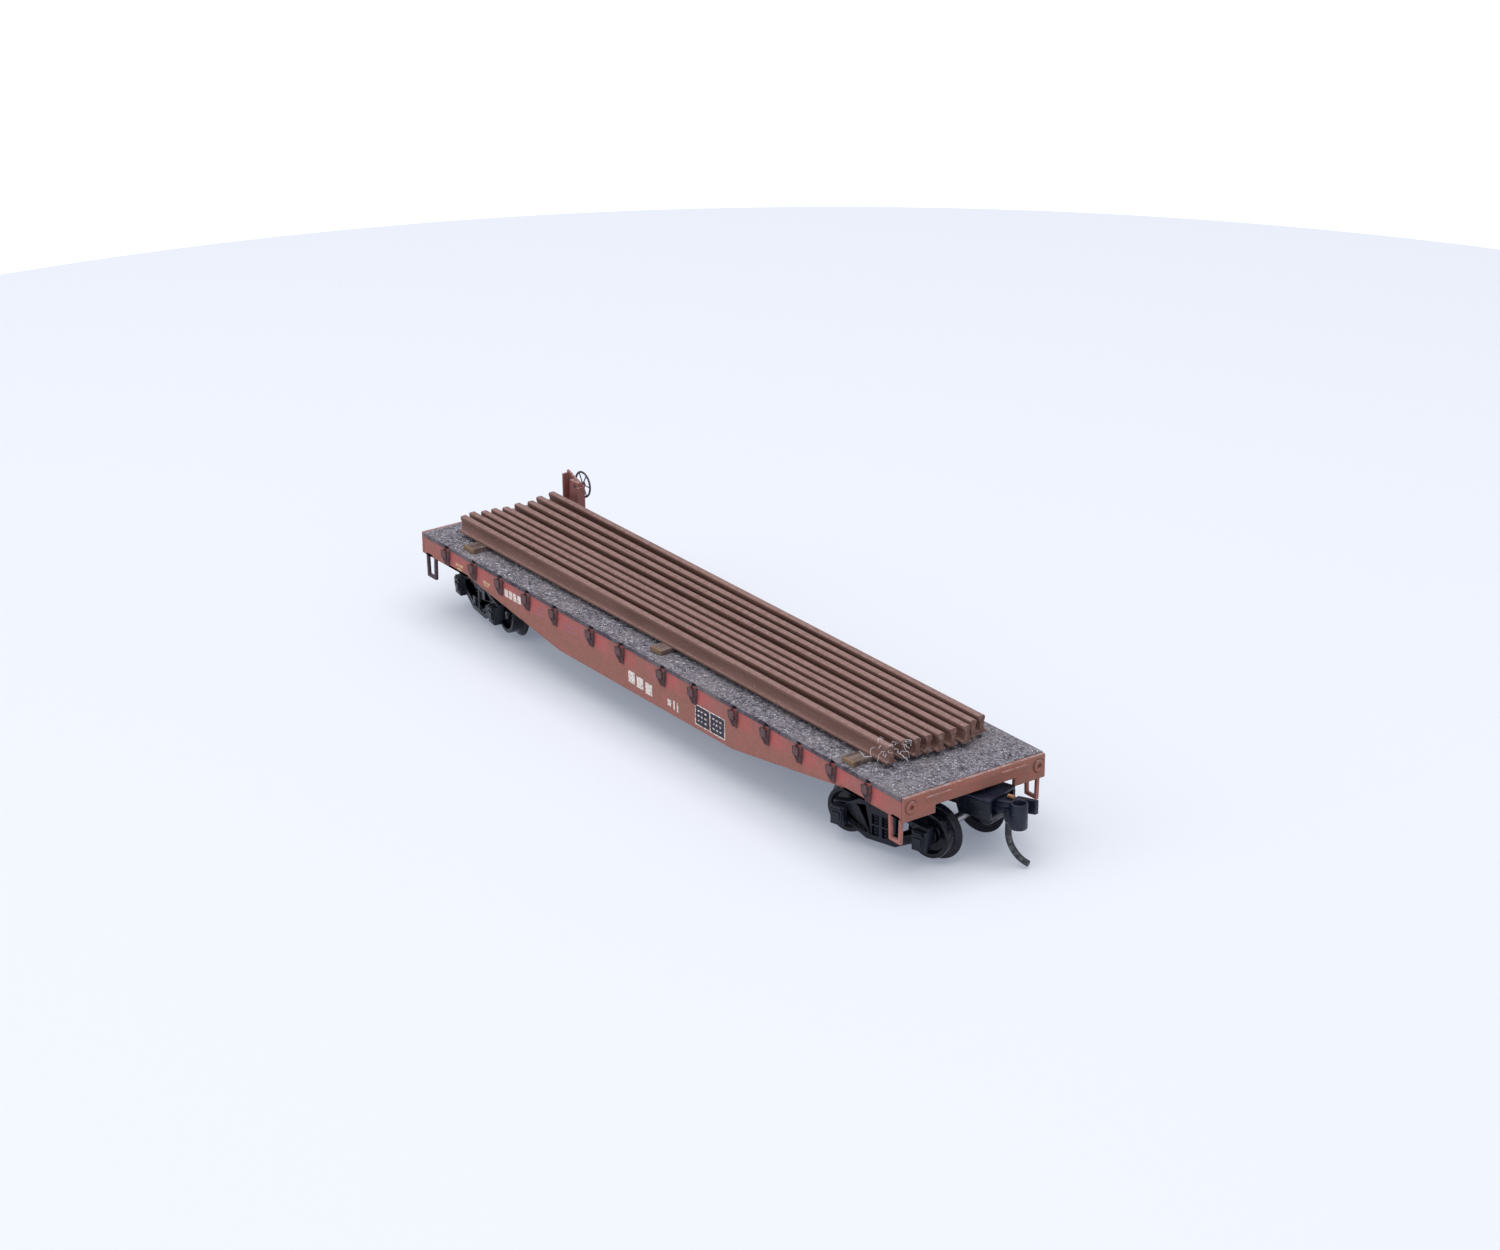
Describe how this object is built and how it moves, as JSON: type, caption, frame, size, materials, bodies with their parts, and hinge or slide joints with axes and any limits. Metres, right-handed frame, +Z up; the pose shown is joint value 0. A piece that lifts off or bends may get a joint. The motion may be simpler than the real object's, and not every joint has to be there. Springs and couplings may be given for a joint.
{
  "type": "model railway flat car",
  "caption": "Small-scale fishbelly flat car with stake pockets, a rail load on dunnage, swivelling trucks, turning wheelsets and working knuckle couplers.",
  "frame": {"origin": "middle of the car between its outer faces, at the level of the wheel flanges' lowest points", "axes": "+X towards the end without the hand brake, +Y towards the side with the hand brake, +Z up"},
  "size_m": [0.1065, 0.0216, 0.015],
  "materials": {
    "body_paint": "flat weathered oxide red",
    "deck_grit": "rough gritty grey",
    "truck_plastic": "satin blue-black moulding",
    "rail_brown": "flat rust brown",
    "dunnage_wood": "weathered bare wood",
    "steel": "dull bare steel",
    "spring_bronze": "bare spring bronze",
    "brake_wheel_grey": "satin dark grey"
  },
  "bodies": {
    "car_body": {"deck": "deck_grit", "side_sill_left": "body_paint", "side_sill_right": "body_paint", "end_sill_front": "body_paint", "end_sill_rear": "body_paint", "underframe": "truck_plastic", "ballast_weight": "steel", "brake_stand": "body_paint", "bolster_pin_front": "truck_plastic", "bolster_pin_rear": "truck_plastic", "step_front_left": "body_paint", "step_front_right": "body_paint", "step_rear_left": "body_paint", "step_rear_right": "body_paint", "rail_1": "rail_brown", "rail_2": "rail_brown", "rail_3": "rail_brown", "rail_4": "rail_brown", "rail_5": "rail_brown", "rail_6": "rail_brown", "rail_7": "rail_brown", "rail_8": "rail_brown", "rail_9": "rail_brown", "dunnage_1": "dunnage_wood", "dunnage_2": "dunnage_wood", "dunnage_3": "dunnage_wood"},
    "brake_wheel": {"brake_wheel": "brake_wheel_grey"},
    "truck_front": {"truck_frame_front": "truck_plastic", "coupler_lid_front": "truck_plastic"},
    "wheelset_front_outer": {"axle_front_outer": "steel", "wheel_front_outer_left": "truck_plastic", "wheel_front_outer_right": "truck_plastic"},
    "wheelset_front_inner": {"axle_front_inner": "steel", "wheel_front_inner_left": "truck_plastic", "wheel_front_inner_right": "truck_plastic"},
    "draft_front": {"draft_spring_front": "spring_bronze"},
    "coupler_front": {"coupler_jaw_front": "truck_plastic", "trip_pin_front": "steel", "knuckle_spring_front": "spring_bronze"},
    "knuckle_front": {"coupler_knuckle_front": "truck_plastic"},
    "truck_rear": {"truck_frame_rear": "truck_plastic", "coupler_lid_rear": "truck_plastic"},
    "wheelset_rear_outer": {"axle_rear_outer": "steel", "wheel_rear_outer_left": "truck_plastic", "wheel_rear_outer_right": "truck_plastic"},
    "wheelset_rear_inner": {"axle_rear_inner": "steel", "wheel_rear_inner_left": "truck_plastic", "wheel_rear_inner_right": "truck_plastic"},
    "draft_rear": {"draft_spring_rear": "spring_bronze"},
    "coupler_rear": {"coupler_jaw_rear": "truck_plastic", "trip_pin_rear": "steel", "knuckle_spring_rear": "spring_bronze"},
    "knuckle_rear": {"coupler_knuckle_rear": "truck_plastic"}
  },
  "joints": [
    {"name": "truck_swivel_front", "type": "hinge", "parent": "car_body", "child": "truck_front", "pos_m": [0.0388, 0, 0.0065], "axis": [0, 0, 1], "range_deg": [-32.3, 0.3]},
    {"name": "wheelset_spin_front_outer", "type": "hinge", "parent": "truck_front", "child": "wheelset_front_outer", "pos_m": [0.04399, 0.00149, 0.00325], "axis": [-0.2756, 0.9613, 0], "continuous": true},
    {"name": "wheelset_spin_front_inner", "type": "hinge", "parent": "truck_front", "child": "wheelset_front_inner", "pos_m": [0.03361, -0.00149, 0.00325], "axis": [-0.2756, 0.9613, 0], "continuous": true},
    {"name": "draft_travel_front", "type": "slide", "parent": "truck_front", "child": "draft_front", "axis": [0.9613, 0.2756, 0], "range_m": [-0.00035, 0], "stiffness_N_per_m": 60, "springref_m": 0.0002},
    {"name": "coupler_swing_front", "type": "hinge", "parent": "draft_front", "child": "coupler_front", "pos_m": [0.04721, 0.00241, 0.0065], "axis": [0, 0, 1], "range_deg": [-15, 15]},
    {"name": "knuckle_open_front", "type": "hinge", "parent": "coupler_front", "child": "knuckle_front", "pos_m": [0.04721, 0.00241, 0.0065], "axis": [0, 0, 1], "range_deg": [-8, 0], "stiffness_Nm_per_rad": 0.001, "springref_deg": 2.86},
    {"name": "truck_swivel_rear", "type": "hinge", "parent": "car_body", "child": "truck_rear", "pos_m": [-0.0388, 0, 0.0065], "axis": [0, 0, 1], "range_deg": [-6.8, 25.8]},
    {"name": "wheelset_spin_rear_outer", "type": "hinge", "parent": "truck_rear", "child": "wheelset_rear_outer", "pos_m": [-0.04413, 0.00089, 0.00325], "axis": [-0.165, -0.9863, 0], "continuous": true},
    {"name": "wheelset_spin_rear_inner", "type": "hinge", "parent": "truck_rear", "child": "wheelset_rear_inner", "pos_m": [-0.03347, -0.00089, 0.00325], "axis": [-0.165, -0.9863, 0], "continuous": true},
    {"name": "draft_travel_rear", "type": "slide", "parent": "truck_rear", "child": "draft_rear", "axis": [-0.9863, 0.165, 0], "range_m": [-0.00035, 0], "stiffness_N_per_m": 60, "springref_m": 0.0002},
    {"name": "coupler_swing_rear", "type": "hinge", "parent": "draft_rear", "child": "coupler_rear", "pos_m": [-0.04743, 0.00144, 0.0065], "axis": [0, 0, 1], "range_deg": [-15, 15]},
    {"name": "knuckle_open_rear", "type": "hinge", "parent": "coupler_rear", "child": "knuckle_rear", "pos_m": [-0.04743, 0.00144, 0.0065], "axis": [0, 0, 1], "range_deg": [-8, 0], "stiffness_Nm_per_rad": 0.001, "springref_deg": 2.86},
    {"name": "brake_wheel_spin", "type": "hinge", "parent": "car_body", "child": "brake_wheel", "pos_m": [-0.0433, 0.01105, 0.0133], "axis": [0, 1, 0], "continuous": true}
  ]
}
